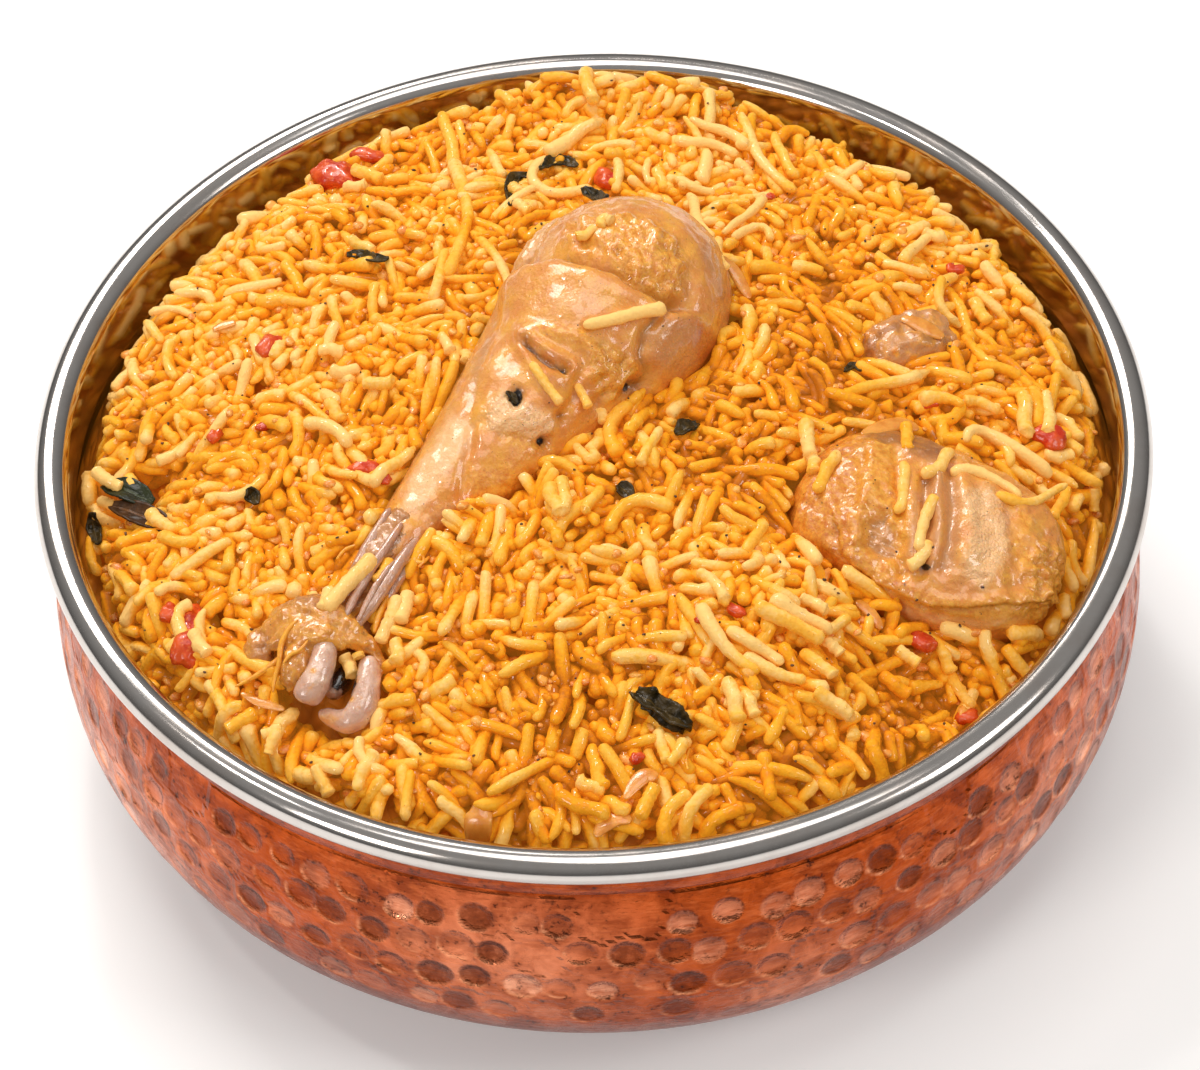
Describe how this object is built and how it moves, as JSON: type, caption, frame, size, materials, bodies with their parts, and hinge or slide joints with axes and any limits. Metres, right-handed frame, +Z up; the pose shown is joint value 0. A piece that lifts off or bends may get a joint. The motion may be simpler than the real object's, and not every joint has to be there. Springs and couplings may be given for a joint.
{
  "type": "bowl of chicken biryani",
  "caption": "Chicken biryani heaped in a round hammered copper and steel bowl, with a drumstick, a thigh, tomato and leaves in long spiced rice",
  "frame": {"origin": "centre of the bowl's flat foot, on the surface that it stands on", "axes": "+Z is up and is the bowl's axis of turning; -Y is the front, the side that the food is seen from; +X is to the right of someone at the front"},
  "size_m": [0.181, 0.181, 0.0809],
  "materials": {
    "copper": "hand hammered copper with dark patina in the dimples",
    "steel": "polished stainless steel with fine turning lines",
    "rice": "cooked long grain rice, cream to yellow and orange, slightly moist",
    "chicken": "stewed chicken, tan and pinkish, with a moist yellow spice coat",
    "bone": "wet greyish pink gristle",
    "tomato": "cooked tomato, wet and red",
    "leaf_green": "cooked dark green leaf",
    "leaf_brown": "cooked dark brown leaf"
  },
  "bodies": {
    "root": {"copper_jacket": "copper", "steel_liner": "steel", "rice_heap": "rice", "chicken_drumstick": "chicken", "drumstick_bone": "bone", "chicken_thigh": "chicken", "chicken_small_piece": "chicken", "tomato_back": "tomato", "tomato_left": "tomato", "leaf_left_green": "leaf_green", "leaf_left_brown": "leaf_brown", "leaf_front": "leaf_green"}
  },
  "joints": []
}
